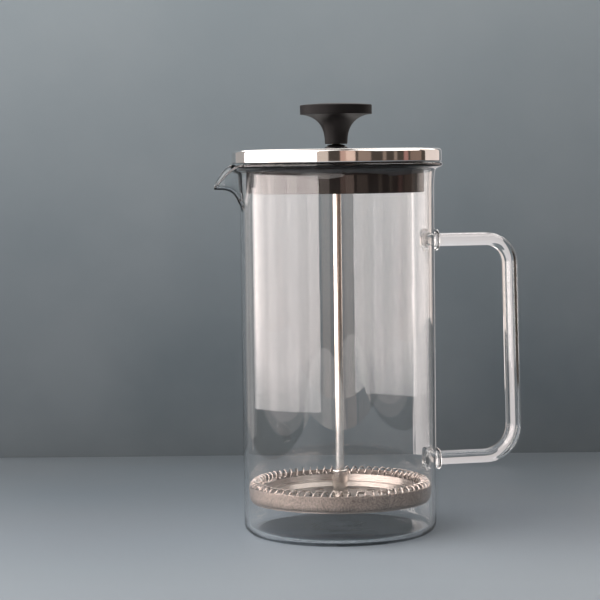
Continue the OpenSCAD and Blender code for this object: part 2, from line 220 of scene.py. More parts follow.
class Shader:
    """A material's node tree, with one method that adds any node and short forms of the common ones."""

    def __init__(self, name):
        self.material = bpy.data.materials.new(name)
        self.material.use_nodes = True
        self.tree = self.material.node_tree
        self.tree.nodes.clear()
        self.place = self.node("ShaderNodeTexCoord").outputs["Object"]
        split = self.node("ShaderNodeSeparateXYZ", values={0: self.place})
        self.x, self.y, self.z = (Amount(self, split.outputs[k]) for k in range(3))

    def node(self, kind, settings=None, values=None, stops=None):
        """Adds a node: its settings first, then a ramp's stops, then each socket's value or link."""
        node = self.tree.nodes.new(kind)
        for name, value in (settings or {}).items():
            setattr(node, name, value)
        if stops:
            ramp = node.color_ramp
            while len(ramp.elements) < len(stops):
                ramp.elements.new(0.5)
            for element, (position, colour) in zip(ramp.elements, stops):
                element.position, element.color = position, (*colour, 1)
        for key, value in (values or {}).items():
            socket = node.inputs[key]
            value = value.socket if isinstance(value, Amount) else value
            if isinstance(value, bpy.types.NodeSocket):
                self.tree.links.new(value, socket)
            elif socket.type == "RGBA":
                socket.default_value = (*value, 1)
            else:
                socket.default_value = value
        return node

    def math(self, operation, *values):
        """The result of a Math node."""
        node = self.node("ShaderNodeMath", {"operation": operation}, dict(enumerate(values)))
        return Amount(self, node.outputs[0])

    def fit(self, value, low, high, to_low=0.0, to_high=1.0):
        """value moved from the range low to high onto the range to_low to to_high, and held inside it."""
        ends = dict(enumerate((value, low, high, to_low, to_high)))
        return Amount(self, self.node("ShaderNodeMapRange", {"clamp": True}, ends).outputs[0])

    def radius(self):
        """Distance from the Z axis."""
        return (self.x * self.x + self.y * self.y) ** 0.5

    def turn(self):
        """Angle round the Z axis, in radians."""
        return self.math("ARCTAN2", self.y, self.x)

    def vector(self, x, y, z):
        """A vector from three numbers."""
        return self.node("ShaderNodeCombineXYZ", values={0: x, 1: y, 2: z}).outputs[0]

    def noise(self, scale, detail=2.0, vector=None, roughness=0.5):
        """Noise on the object's own coordinates, or on a given vector."""
        node = self.node("ShaderNodeTexNoise", values={
            "Vector": vector or self.place, "Scale": scale, "Detail": detail, "Roughness": roughness})
        return Amount(self, node.outputs[0])

    def mix(self, share, first, second):
        """Colour between first and second."""
        node = self.node("ShaderNodeMix", {"data_type": "RGBA"}, {0: share, 6: first, 7: second})
        return node.outputs[2]

    def bump(self, height, distance, strength):
        """A normal tilted by a height."""
        values = {"Height": height, "Distance": distance, "Strength": strength}
        return self.node("ShaderNodeBump", values=values).outputs[0]

    def principled(self, **values):
        """The Principled shader with its sockets set, joined to the output."""
        named = {key.replace("_", " ").title().replace("Ior", "IOR"): value for key, value in values.items()}
        shader = self.node("ShaderNodeBsdfPrincipled", values=named).outputs[0]
        return self.out(shader)

    def out(self, shader):
        """Joins a shader to the output and gives the material."""
        self.node("ShaderNodeOutputMaterial", values={"Surface": shader})
        return self.material


GLASS_TINT = (0.985, 0.992, 0.99)
GLASS_SHADE = (0.86, 0.87, 0.88)
GLASS_IOR = 1.47


def glass(name, streaks):
    """Clear glass with faint draw lines. Rays from lamps pass straight through, so what is inside is lit."""
    s = Shader(name)
    body = s.node("ShaderNodeBsdfPrincipled", values={
        "Base Color": GLASS_TINT, "Roughness": 0.0, "IOR": GLASS_IOR, "Transmission Weight": 1.0,
        "Normal": s.bump(streaks(s), 0.1 * MM, 0.25)}).outputs[0]
    lamp = s.node("ShaderNodeLightPath").outputs["Is Shadow Ray"]
    clear = s.node("ShaderNodeBsdfTransparent", values={0: GLASS_SHADE}).outputs[0]
    return s.out(s.node("ShaderNodeMixShader", values={0: lamp, 1: body, 2: clear}).outputs[0])


def beaker_streaks(s):
    """Draw lines up the wall, noise fine round the axis and very long in height, and swirls in the floor.

    The swirls are evenly spaced rings, bent by noise, that fade out away from the axis and above the floor.
    """
    ring_gap, ring_bend = 3 * MM, 4 * MM
    lines = s.noise(1.0, 3.0, s.vector(s.turn() * 9, s.z * 6, 0.0))
    bent = s.radius() + s.noise(60.0, 2.0) * ring_bend
    swirl = s.math("SINE", bent * (TAU / ring_gap)) * s.fit(s.radius(), 18 * MM, 6 * MM)
    return lines + swirl * s.fit(s.z, 5 * MM, 3 * MM) * 4


def arm_streaks(s):
    """Draw lines across a band: noise fine in Y and long in the other directions."""
    return s.noise(1.0, 2.0, s.vector(s.x * 10, s.y * 500, s.z * 10))


def polished_steel(name, tint, gloss, lines):
    """Mirror steel: a nearly clean reflection with faint smears and fine polishing lines."""
    s = Shader(name)
    smear = s.noise(60.0, 4.0)
    fine = lines(s)
    return s.principled(
        base_color=s.mix(s.fit(smear, 0.3, 0.7), tint, tuple(0.93 * c for c in tint)),
        metallic=1.0,
        roughness=s.fit(smear * 0.7 + fine * 0.3, 0.3, 0.7, gloss * 0.6, gloss * 1.6),
        normal=s.bump(fine, 0.02 * MM, 0.12))


def turning_marks(s):
    """Turning marks: noise along the radius and the height only."""
    return s.noise(1.0, 3.0, s.vector(s.radius() * 3500, s.z * 3500, 0.0))


def upright_lines(s):
    """Polishing marks that run up a wall."""
    return s.noise(1.0, 3.0, s.vector(s.turn() * 160, s.z * 30, 0.0))


def satin_steel(name, tint):
    """Pressed sheet with a satin finish and turning marks."""
    s = Shader(name)
    marks, patches = turning_marks(s), s.noise(90.0, 3.0)
    return s.principled(
        base_color=s.mix(
            s.fit(patches * 0.6 + marks * 0.4, 0.35, 0.65), tint, tuple(0.8 * c for c in tint)),
        metallic=1.0,
        roughness=s.fit(marks, 0.3, 0.7, 0.22, 0.4),
        normal=s.bump(marks, 0.04 * MM, 0.25))


def woven_mesh(name):
    """Fine woven wire: two crossed sets of waves at the wire pitch, with coarser unevenness.

    On the dish's flat bottom the waves run along X and Y, and on its wall round the axis and up.
    """
    s = Shader(name)
    pitch = 0.42 * MM
    wall = s.fit(s.z, screen_low[2] + 1.2 * MM, screen_low[2] + 1.6 * MM)
    along = (1 - wall) * s.x + wall * s.turn() * screen_high[0]
    across = (1 - wall) * s.y + wall * s.z
    weft = s.math("SINE", along * (TAU / pitch))
    warp = s.math("SINE", across * (TAU / pitch))
    weave = weft * warp * 0.5 + 0.5
    grain = s.noise(1250.0, 3.0, roughness=0.8)
    patches = s.noise(160.0, 3.0)
    tone = s.fit(weave * 0.25 + grain * 1.3 + patches * 0.2, 0.62, 1.12)
    return s.principled(
        base_color=s.mix(tone, (0.07, 0.055, 0.047), (0.44, 0.37, 0.325)),
        metallic=0.9,
        roughness=s.fit(grain, 0.3, 0.7, 0.34, 0.55),
        normal=s.bump(weave * 0.6 + grain * 0.8, 0.12 * MM, 0.8))


def spring_wire(name):
    """Drawn wire: bright, with faint darker stretches."""
    s = Shader(name)
    tone = s.noise(500.0, 3.0)
    return s.principled(
        base_color=s.mix(s.fit(tone, 0.35, 0.65), (0.36, 0.31, 0.28), (0.6, 0.54, 0.5)),
        metallic=1.0,
        roughness=s.fit(tone, 0.3, 0.7, 0.18, 0.3),
        normal=s.bump(s.noise(3000.0, 2.0), 0.02 * MM, 0.3))


def moulded_plastic(name, tint, worn, rough, grain, shine):
    """Black moulded plastic: spark grain in bump and roughness, a little paler where hands rub it."""
    s = Shader(name)
    spark = s.noise(2600.0, 3.0, roughness=0.65)
    handled = s.noise(140.0, 3.0)
    return s.principled(
        base_color=s.mix(s.fit(handled * 0.7 + spark * 0.3, 0.4, 0.65), tint, worn),
        roughness=s.fit(handled * 0.5 + spark * 0.5, 0.35, 0.65, rough - 0.06, rough + 0.06),
        specular_ior_level=shine,
        normal=s.bump(spark, 0.05 * MM, grain))


def turned_brass(name):
    """Brass with turning marks."""
    s = Shader(name)
    marks = turning_marks(s)
    return s.principled(
        base_color=s.mix(s.fit(marks, 0.3, 0.7), (0.72, 0.55, 0.24), (0.85, 0.68, 0.36)),
        metallic=1.0,
        roughness=s.fit(marks, 0.3, 0.7, 0.2, 0.34),
        normal=s.bump(marks, 0.03 * MM, 0.3))


beaker_glass = glass("beaker_glass", beaker_streaks)
handle_glass = glass("handle_glass", arm_streaks)
cap_steel = polished_steel("cap_steel", (0.83, 0.81, 0.79), 0.06, turning_marks)
rod_steel = polished_steel("rod_steel", (0.8, 0.76, 0.72), 0.12, upright_lines)
sheet_steel = satin_steel("sheet_steel", (0.3, 0.265, 0.24))
nut_steel = satin_steel("nut_steel", (0.6, 0.6, 0.6))
screen_steel = woven_mesh("screen_steel")
wire_steel = spring_wire("wire_steel")
collar_plastic = moulded_plastic(
    "collar_plastic", (0.012, 0.01, 0.01), (0.017, 0.014, 0.013), rough=0.2, grain=0.05, shine=0.12)
knob_plastic = moulded_plastic(
    "knob_plastic", (0.003, 0.0028, 0.003), (0.006, 0.0057, 0.006), rough=0.5, grain=0.35, shine=0.1)
bush_plastic = moulded_plastic(
    "bush_plastic", (0.006, 0.006, 0.006), (0.009, 0.0085, 0.0085), rough=0.2, grain=0.08, shine=0.2)
insert_brass = turned_brass("insert_brass")


def finish_piece(piece, material, body, slot, *nodes):
    """Gives a piece its material and body, and hides the CAD nodes it stands for. The slot is not used."""
    piece.data.materials.clear()
    piece.data.materials.append(material)
    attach(piece, body)
    if nodes:
        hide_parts(*nodes)
    return piece


# ---------------------------------------------------------------- glass

BEAK_TURN = math.pi
BEAK_LOW_Z = RIM_Z - 24 * MM
BEAK_TIP_Z = RIM_Z - 12 * MM
BEAK_TIP_R = TIP_R - 0.6 * MM
THROAT_HALF_W = 7.5 * MM
BEAK_SPREAD = 5.5 * MM
TIP_THINNING = 0.3
LIP_RISE = 13.4 * MM
BASE_ROUND = 5.6 * MM


def beaker_middle(steps_floor=22, steps_wall=36, steps_lip=56):
    """Middle line of the glass from the floor's centre to the lip, as (r, z), with its thickness.

    The floor is flat and a quarter circle turns it up into the wall. In the lip a fifth of the flare grows
    with the square of the height share and the rest with its twelfth power. The thickness goes evenly from
    the floor's to the wall's over the height of the corner.
    """
    half = GLASS_WALL / 2
    flare = LIP_R - WALL_R
    mid_r = WALL_R - half
    bend = BASE_ROUND - half
    floor_r = np.linspace(0.4 * MM, mid_r - bend, steps_floor)
    floor = np.stack([floor_r, np.full(steps_floor, GLASS_FLOOR / 2)], -1)
    corner = arc((mid_r - bend, GLASS_FLOOR / 2 + bend), bend, -90, 0, 12)[1:]
    top = RIM_Z - half
    wall_z = np.linspace(corner[-1, 1], BEAK_LOW_Z, steps_wall + 1)[1:]
    wall = np.stack([np.full(steps_wall, mid_r), wall_z], -1)
    z = BEAK_LOW_Z + (top - BEAK_LOW_Z) * np.linspace(0, 1, steps_lip + 1)[1:] ** 0.8
    u = np.clip((z - top + LIP_RISE) / LIP_RISE, 0, 1)
    lip = np.stack([mid_r + flare * (0.2 * u ** 2 + 0.8 * u ** 12), z], -1)
    line = np.concatenate([floor, corner, wall, lip])
    blend = np.clip((line[:, 1] - GLASS_FLOOR / 2) / BASE_ROUND, 0, 1)
    thick = GLASS_FLOOR + (GLASS_WALL - GLASS_FLOOR) * blend
    thick[:len(floor)] = GLASS_FLOOR
    return line, thick


def beaker_surface(segments=288):
    """The beaker: its middle line turned round Z and pulled out into the beak, then thickened both ways.

    Angles crowd together near the beak, where the glass also thins a little. There a share of the wall
    moves from its own place onto the beak's middle line: the share is one in the plane of the beak and
    falls smoothly to none at the beak's half width, which grows from the throat to the lip. That middle
    line leaves the wall upright and ends level at the tip, as powers of a cosine and a sine. The inner and
    outer skins stand half the glass thickness off that middle surface along its normals, and a half round
    joins them over the lip.
    """
    line, thick = beaker_middle()
    rows = len(line)
    even = np.arange(segments) * TAU / segments
    off = even - 0.72 * np.sin(even)
    off = np.where(off > math.pi, off - TAU, off)
    r = np.repeat(line[:, :1], segments, 1)
    z = np.repeat(line[:, 1:], segments, 1)
    rise = np.clip((z - BEAK_LOW_Z) / (RIM_Z - BEAK_LOW_Z), 0, 1)
    half_width = THROAT_HALF_W + BEAK_SPREAD * rise ** 0.7
    aside = np.abs(off)[None] * WALL_R / half_width
    share = np.where(aside < 1, (1 - np.clip(aside, 0, 1) ** 1.7) ** 2.2, 0)
    swing = (1 - (1 - rise) ** 1.8) * math.pi / 2
    beak_r = WALL_R + (BEAK_TIP_R - WALL_R) * (1 - np.clip(np.cos(swing), 0, 1) ** 0.5)
    beak_z = BEAK_LOW_Z + (BEAK_TIP_Z - BEAK_LOW_Z) * np.sin(swing) ** 1.25
    fade = np.clip(rise * 5, 0, 1)
    r_new = r + share * fade * (beak_r - r)
    z_new = z + share ** 1.6 * fade * (beak_z - z)
    a = BEAK_TURN + np.repeat(off[None], rows, 0)
    middle = np.stack([r_new * np.cos(a), r_new * np.sin(a), z_new], -1)
    down = np.gradient(middle, axis=0)
    around = np.roll(middle, -1, 1) - np.roll(middle, 1, 1)
    normal = np.cross(around, down)
    normal /= np.linalg.norm(normal, axis=-1, keepdims=True)
    outward = np.stack([np.cos(a), np.sin(a), np.zeros_like(a)], -1)
    straight = np.sum(normal[rows // 2] * outward[rows // 2], -1).mean()
    normal *= np.sign(straight)
    thin = thick[:, None] * (1 - TIP_THINNING * share * rise)
    outer = middle + normal * thin[..., None] / 2
    inner = middle - normal * thin[..., None] / 2
    ahead = down[-1] / np.linalg.norm(down[-1], axis=-1, keepdims=True)
    over = np.radians(np.linspace(0, 180, 9))[1:-1, None, None]
    edge = middle[-1] + thin[-1][:, None] / 2 * (np.cos(over) * normal[-1] + np.sin(over) * ahead)
    return np.concatenate([outer, edge, inner[::-1]])


beaker = capped("glass_beaker", beaker_surface(), [[0, 0, 0], [0, 0, GLASS_FLOOR]], sharp=180)
finish_piece(beaker, beaker_glass, "jug", "clear_glass", "beaker")

BAND_W = handle_high[1] - handle_low[1]
BAND_T = 6.7 * MM
GRIP_LEAN = math.radians(1.1)
UPPER_BEND = 16.5 * MM - BAND_T / 2
LOWER_BEND = 19.5 * MM - BAND_T / 2


def rounded_section(width, height, power, sides):
    """Superellipse outline: a rectangle whose corners round off more as power falls towards 2."""
    way = unit(np.arange(sides) * TAU / sides)
    return np.sign(way) * np.abs(way) ** (2 / power) * np.array([width, height]) / 2


def handle_line():
    """Middle line of the handle in the XZ plane, as points and outward normal angles.

    Two level arms, two quarter bends of their own radius and a straight grip that leans out at the top.
    """
    top_z, foot_z = handle_high[2] - BAND_T / 2, handle_low[2] + BAND_T / 2
    start_x = handle_low[0] - 0.6 * MM
    lower = np.array([handle_high[0] - LOWER_BEND - BAND_T / 2, foot_z + LOWER_BEND])
    grip_low = lower + LOWER_BEND * unit(GRIP_LEAN)
    length = (top_z - UPPER_BEND * (1 - math.sin(GRIP_LEAN)) - grip_low[1]) / math.cos(GRIP_LEAN)
    upper = grip_low + length * unit(GRIP_LEAN + math.pi / 2) - UPPER_BEND * unit(GRIP_LEAN)
    a_upper = np.linspace(math.pi / 2, GRIP_LEAN, 25)
    a_lower = np.linspace(GRIP_LEAN, -math.pi / 2, 25)
    arm_in = np.linspace(start_x, upper[0], 14)[:-1]
    arm_out = np.linspace(lower[0], start_x, 14)[1:]
    grip = np.linspace(0, 1, 20)[1:-1, None]
    bend_up = upper + UPPER_BEND * unit(a_upper)
    bend_low = lower + LOWER_BEND * unit(a_lower)
    points = np.concatenate([
        np.stack([arm_in, np.full(13, top_z)], -1), bend_up,
        bend_up[-1] + grip * (bend_low[0] - bend_up[-1]),
        bend_low, np.stack([arm_out, np.full(13, foot_z)], -1)])
    angles = np.concatenate([
        np.full(13, math.pi / 2), a_upper, np.full(18, GRIP_LEAN), a_lower, np.full(13, -math.pi / 2)])
    return points, angles


def handle_rings(sides=40):
    """The band's rounded section set square to the middle line at each of its points."""
    points, angles = handle_line()
    section = rounded_section(BAND_T, BAND_W, 3.2, sides)
    place = points[:, None] + section[None, :, :1] * unit(angles)[:, None]
    across = np.repeat(section[None, :, 1], len(points), 0)
    return np.stack([place[..., 0], across, place[..., 1]], -1)


handle = swept("glass_handle", handle_rings(), sharp=60)
finish_piece(handle, handle_glass, "jug", "clear_glass", "handle")


def boss_rings(z, sides=56):
    """A fused boss: superellipse rings from the curved wall out to the arm.

    The foot spreads on the wall and a soft lip stands out just before the arm, both as bell curves along
    the reach with a waist between them. The last stretch draws in by a square.
    """
    reach = np.linspace(0, 1, 27)
    foot = 1.5 * MM * np.exp(-(reach / 0.16) ** 2)
    lip = 1.1 * MM * np.exp(-((reach - 0.8) / 0.12) ** 2)
    ease = 0.9 * MM * np.clip((reach - 0.93) / 0.07, 0, 1) ** 2
    wide = BAND_W + 1.6 * MM + 2 * (foot + lip - ease)
    tall = BAND_T + 2.4 * MM + 2 * (foot + lip - ease)
    ring = rounded_section(1, 1, 2.5, sides)
    y = ring[None, :, 0] * wide[:, None]
    z_ring = z + ring[None, :, 1] * tall[:, None]
    wall_x = np.sqrt((WALL_R - 0.1 * MM) ** 2 - y ** 2)
    x = wall_x + (handle_low[0] - wall_x) * reach[:, None]
    return np.stack([x, y, z_ring], -1)


for name, node, z in (("upper_glass_boss", "upper_boss", handle_high[2] - BAND_T / 2),
                      ("lower_glass_boss", "lower_boss", handle_low[2] + BAND_T / 2)):
    boss = swept(name, boss_rings(z), sharp=60)
    finish_piece(boss, handle_glass, "jug", "clear_glass", node)

# ---------------------------------------------------------------- lid

CAP_T = 0.7 * MM
CAP_ROUND = 1.6 * MM
HEM_W = 2.2 * MM
CAP_R = cap_high[1]
CAP_Z, CAP_TOP = cap_low[2], cap_high[2]
STEM_HOLE = 4.1 * MM

cap_profile = outline(
    [(STEM_HOLE, CAP_TOP)],
    arc((CAP_R - CAP_ROUND, CAP_TOP - CAP_ROUND), CAP_ROUND, 90, 0, 12),
    arc((CAP_R - CAP_T, CAP_Z + CAP_T), CAP_T, 0, -90, 6),
    arc((CAP_R - HEM_W, CAP_Z + CAP_T / 2), CAP_T / 2, -90, -270, 8),
    [(CAP_R - CAP_T, CAP_Z + CAP_T)],
    arc((CAP_R - CAP_ROUND, CAP_TOP - CAP_ROUND), CAP_ROUND - CAP_T, 0, 90, 8),
    [(STEM_HOLE, CAP_TOP - CAP_T)])
cap = turned("steel_lid_cap", cap_profile, 256, closed=True)
finish_piece(cap, cap_steel, "lid", "polished_steel", "lid_cap")

COLLAR_R = collar_high[0]
COLLAR_T = 1.4 * MM
FLANGE_W = 3.5 * MM
SEAM_TURN = math.radians(-102)
SEAM_W = 0.3 * MM
SEAM_T = 0.2 * MM
COLLAR_EASE = 0.5 * MM
COLLAR_EASE_IN = 0.3 * MM


def collar_rings(segments=240):
    """The collar's section carried round Z. A fine groove for the parting line dips into the outer face."""
    low, high = collar_low[2], collar_high[2]
    inner = COLLAR_R - COLLAR_T
    section = outline(
        arc((COLLAR_R - COLLAR_EASE, low + COLLAR_EASE), COLLAR_EASE, -90, 0, 5),
        arc((COLLAR_R - COLLAR_EASE, high - COLLAR_EASE), COLLAR_EASE, 0, 90, 4),
        [(inner - FLANGE_W, high), (inner - FLANGE_W, high - COLLAR_T), (inner, high - COLLAR_T)],
        arc((inner + COLLAR_EASE_IN, low + COLLAR_EASE_IN), COLLAR_EASE_IN, 180, 270, 4))
    section = guarded(section, True)
    groove = SEAM_W / COLLAR_R
    near = np.array([-2.0, -0.6, -0.5, -0.25, 0.0, 0.25, 0.5, 0.6]) * groove
    angle = SEAM_TURN + np.concatenate([near, np.linspace(2 * groove, TAU - 2 * groove, segments)[:-1]])
    dip = np.where(np.abs(angle - SEAM_TURN) < 0.3 * groove, SEAM_T, 0)
    outer_face = section[:, 0] > COLLAR_R - 0.1 * MM
    r = section[None, :, 0] - dip[:, None] * outer_face
    z = np.repeat(section[None, :, 1], len(angle), 0)
    return np.stack([r * np.cos(angle)[:, None], r * np.sin(angle)[:, None], z], -1)


collar = swept("black_collar", collar_rings(), closed=True)
finish_piece(collar, collar_plastic, "lid", "gloss_black", "lid_collar")

BUSH_R = bush_high[0]
STEM_R = 4 * MM
BUSH_BORE = 2.31 * MM
BUSH_TOP = knob_low[2] - 0.15 * MM
BUSH_FOOT = bush_low[2]
BUSH_EASE = 0.2 * MM
STEM_EASE = 0.4 * MM
DOME_Z = CAP_TOP + 0.5 * MM
DOME_START = 0.42

# The dome is a part of an ellipse that ends upright at the bush's radius.
dome_angle = np.linspace(DOME_START, math.pi / 2, 12)
dome_z = DOME_Z + (BUSH_TOP - DOME_Z) * np.cos(dome_angle) / math.cos(DOME_START)
bush_profile = outline(
    [(BUSH_BORE, BUSH_TOP - 0.1 * MM)],
    np.stack([BUSH_R * np.sin(dome_angle), dome_z], -1),
    arc((BUSH_R - BUSH_EASE, CAP_TOP + BUSH_EASE), BUSH_EASE, 0, -90, 4),
    [(STEM_R, CAP_TOP), (STEM_R, BUSH_FOOT + STEM_EASE), (STEM_R - STEM_EASE, BUSH_FOOT),
     (BUSH_BORE, BUSH_FOOT)])
bush = turned("black_bush", bush_profile, 96, closed=True)
finish_piece(bush, bush_plastic, "lid", "gloss_black", "lid_bush")


def nut_surface(name, node, bore, segments=96):
    """A chamfered hexagon nut: an outline turned round Z, whose outer points follow the hexagon.

    The hexagon's radius is the flats' distance over the cosine of the angle from the nearest flat. Its
    corners are chamfered by 30 degrees, from the radius of the flat face outward.
    """
    low, high = span(node)
    foot, top = low[2], high[2]
    flats = (high[1] - low[1]) / 2
    drop = 0.3 * MM
    face = flats * 0.94
    profile = outline([(bore, foot + drop), (bore + drop, foot), (face, foot), (flats, foot),
                       (flats, top), (face, top), (bore + drop, top), (bore, top - drop)])
    angle = np.arange(segments) * TAU / segments
    hexagon = flats / np.cos((angle + math.pi / 6) % (math.pi / 3) - math.pi / 6)
    chamfer = np.clip((hexagon - face) * math.tan(math.radians(30)), 0, (top - foot) / 3)
    r = np.repeat(profile[:, :1], segments, 1)
    z = np.repeat(profile[:, 1:], segments, 1)
    outer_low, outer_high = 3, 4
    r[[outer_low, outer_high]] = hexagon
    z[outer_low] += chamfer
    z[outer_high] -= chamfer
    rings = np.stack([r * np.cos(angle), r * np.sin(angle), z], -1)
    return make_piece(name, rings, grid_quads(len(profile), segments, True, True), sharp=25)


bush_nut = nut_surface("bush_hex_nut", "bush_nut", STEM_HOLE)
finish_piece(bush_nut, nut_steel, "lid", "zinc_steel", "bush_nut")


def washer_surface(name, node, bore):
    """A flat washer with eased edges."""
    low, high = span(node)
    foot, top, rim = low[2], high[2], high[0]
    ease = 0.15 * MM
    profile = outline(
        arc((rim - ease, foot + ease), ease, -90, 0, 3),
        arc((rim - ease, top - ease), ease, 0, 90, 3),
        arc((bore + ease, top - ease), ease, 90, 180, 3),
        arc((bore + ease, foot + ease), ease, 180, 270, 3))
    return turned(name, profile, 96, closed=True)


bush_washer = washer_surface("bush_flat_washer", "bush_washer", STEM_HOLE)
finish_piece(bush_washer, nut_steel, "lid", "zinc_steel", "bush_washer")

# ---------------------------------------------------------------- plunger

ROD_R = rod_high[0]
THREAD_R = 1.95 * MM
THREAD_PITCH = 0.7 * MM
THREAD_DEPTH = 0.28 * MM
ROD_EASE = 0.2 * MM
KNOB_Z = knob_low[2]
HUB_TOP = hub_high[2]


def threaded(r, z, a):
    """Screw threads on the rod's two ends: a rounded ridge that climbs one pitch a turn."""
    wave = np.cos(TAU * (z / THREAD_PITCH) - a)
    on_thread = (r < ROD_R - 0.1 * MM) & (r > THREAD_R - 0.1 * MM)
    return np.where(on_thread, r - THREAD_DEPTH / 2 * (1 - wave), r)


def rod_profile():
    """The rod from its lower threaded end to its upper one, with eased shoulders."""
    low, high = rod_low[2], rod_high[2]
    ease = 0.35 * MM
    lower = np.linspace(low + ease, HUB_TOP - 0.05 * MM, 12 * int((HUB_TOP - low) / THREAD_PITCH))
    upper = np.linspace(KNOB_Z + 0.05 * MM, high - ease, 12 * int((high - KNOB_Z) / THREAD_PITCH))
    return outline(
        [(0, low), (THREAD_R - ease, low)],
        np.stack([np.full(len(lower), THREAD_R), lower], -1),
        [(ROD_R - ROD_EASE, HUB_TOP), (ROD_R, HUB_TOP + ROD_EASE)],
        [(ROD_R, KNOB_Z - ROD_EASE), (ROD_R - ROD_EASE, KNOB_Z)],
        np.stack([np.full(len(upper), THREAD_R), upper], -1),
        [(THREAD_R - ease, high), (0, high)])


rod = turned("steel_rod", rod_profile(), 64, ripple=threaded)
finish_piece(rod, rod_steel, "plunger", "polished_steel", "plunger_rod")

KNOB_R = knob_high[0]
KNOB_TOP = knob_high[2]
NECK_R = 5.85 * MM
CROWN = 0.9 * MM
KNOB_EDGE = 4.9 * MM
EDGE_EASE = 0.25 * MM
CROWN_EASE = 0.5 * MM
INSERT_R = 3.7 * MM
INSERT_H = 12 * MM


def knob_profile():
    """The pocket for the insert, a trumpet neck, an upright edge and a low crown.

    The neck widens with the power 2.3 of the share run, while its height falls short of the edge by the
    power 1.6 of the share left. The crown is a parabola.
    """
    edge_low = KNOB_TOP - CROWN - KNOB_EDGE
    u = np.linspace(0, 1, 40)
    flare_r = NECK_R + (KNOB_R - EDGE_EASE - NECK_R) * u ** 2.3
    flare_z = KNOB_Z + (edge_low - KNOB_Z) * (1 - (1 - u) ** 1.6)
    v = np.linspace(1, 0, 24)[1:-1]
    crown_r = (KNOB_R - CROWN_EASE) * v
    crown_z = KNOB_TOP - CROWN * v ** 2
    pocket = KNOB_Z + INSERT_H
    return outline(
        [(0, pocket), (INSERT_R, pocket), (INSERT_R, KNOB_Z + 0.2 * MM), (INSERT_R + 0.2 * MM, KNOB_Z),
         (NECK_R - 0.3 * MM, KNOB_Z)],
        np.stack([flare_r, flare_z], -1)[1:],
        arc((KNOB_R - EDGE_EASE, edge_low + EDGE_EASE), EDGE_EASE, -80, 0, 4),
        arc((KNOB_R - CROWN_EASE, KNOB_TOP - CROWN - CROWN_EASE), CROWN_EASE, 0, 88, 6),
        np.stack([crown_r, crown_z], -1),
        [(0, KNOB_TOP)])


knob = turned("black_knob", knob_profile(), 160)
finish_piece(knob, knob_plastic, "plunger", "matte_black", "knob")

HUB_R = hub_high[0]
HUB_FOOT = hub_low[2]
HUB_BORE = 2.1 * MM
HUB_EASE = 0.35 * MM
FOOT_EASE = 0.3 * MM
GROOVE_DEPTH = 0.35 * MM

# A sleeve with eased ends and a fine turned groove under its top
hub_profile = outline(
    arc((HUB_R - FOOT_EASE, HUB_FOOT + FOOT_EASE), FOOT_EASE, -90, 0, 4),
    [(HUB_R, HUB_TOP - 1.0 * MM), (HUB_R - GROOVE_DEPTH, HUB_TOP - 0.9 * MM)],
    [(HUB_R - GROOVE_DEPTH, HUB_TOP - 0.75 * MM), (HUB_R, HUB_TOP - 0.65 * MM)],
    arc((HUB_R - HUB_EASE, HUB_TOP - HUB_EASE), HUB_EASE, 0, 90, 4),
    [(HUB_BORE, HUB_TOP), (HUB_BORE, HUB_FOOT)])
hub = turned("steel_hub", hub_profile, 96, closed=True)
finish_piece(hub, rod_steel, "plunger", "polished_steel", "filter_hub")

COIL_TURNS = 68
WIRE_R = 0.35 * MM


def coil_rings(per_turn=18, sides=8):
    """A helix wound round a ring: the wire's round section carried along a circle that goes round Z."""
    tall = (spring_high[2] - spring_low[2]) / 2
    ring_z = (spring_high[2] + spring_low[2]) / 2
    ring_r = spring_high[0] - tall
    helix_r = tall - WIRE_R
    t = np.arange(COIL_TURNS * per_turn) / per_turn
    a, b = TAU * t / COIL_TURNS, TAU * t
    spoke = np.stack([np.cos(a), np.sin(a), 0 * a], -1)
    ahead = np.stack([-np.sin(a), np.cos(a), 0 * a], -1)
    up = np.array([0, 0, 1.0])
    out = np.cos(b)[:, None] * spoke + np.sin(b)[:, None] * up
    line = ring_r * spoke + ring_z * up + helix_r * out
    along = (ring_r + helix_r * np.cos(b))[:, None] * ahead / COIL_TURNS
    along = along + helix_r * (np.cos(b)[:, None] * up - np.sin(b)[:, None] * spoke)
    side = np.cross(along, out)
    side /= np.linalg.norm(side, axis=-1, keepdims=True)
    c = (np.arange(sides) * TAU / sides)[None, :, None]
    return line[:, None] + WIRE_R * (np.cos(c) * out[:, None] + np.sin(c) * side[:, None])


coil = swept("coil_spring", coil_rings(), closed=True, sharp=180)
finish_piece(coil, wire_steel, "plunger", "spring_steel", "rim_spring")

SCREEN_R = screen_high[1]
MESH_T = 0.3 * MM
HEEL = 2.2 * MM
FOLD_R = 0.25 * MM


def screen_profile():
    """The mesh dish: a flat bottom, a soft heel and a wall that ends in a small folded edge.

    The heel is a tall quarter ellipse, made a little fuller by a power of its sine.
    """
    low, high = screen_low[2], screen_high[2]
    heel = np.linspace(0, math.pi / 2, 10)
    heel_r = SCREEN_R - HEEL + (HEEL - 0.25 * MM) * np.sin(heel) ** 0.8
    heel_z = low + 2 * HEEL * (1 - np.cos(heel))
    outer = np.stack([heel_r, heel_z], -1)
    inner = outer[::-1] + np.array([-MESH_T, MESH_T * 0.5])
    fold = arc((SCREEN_R - 0.28 * MM, high - FOLD_R), FOLD_R, 0, 180, 8)
    return outline([(HUB_BORE, low)], outer, [(SCREEN_R - 0.05 * MM, high - 0.9 * MM)], fold, inner,
                   [(HUB_BORE, low + MESH_T)])


screen = turned("mesh_dish", screen_profile(), 256, closed=True)
finish_piece(screen, screen_steel, "plunger", "steel_mesh", "mesh_screen")

CLAMP_BORE = 2.05 * MM

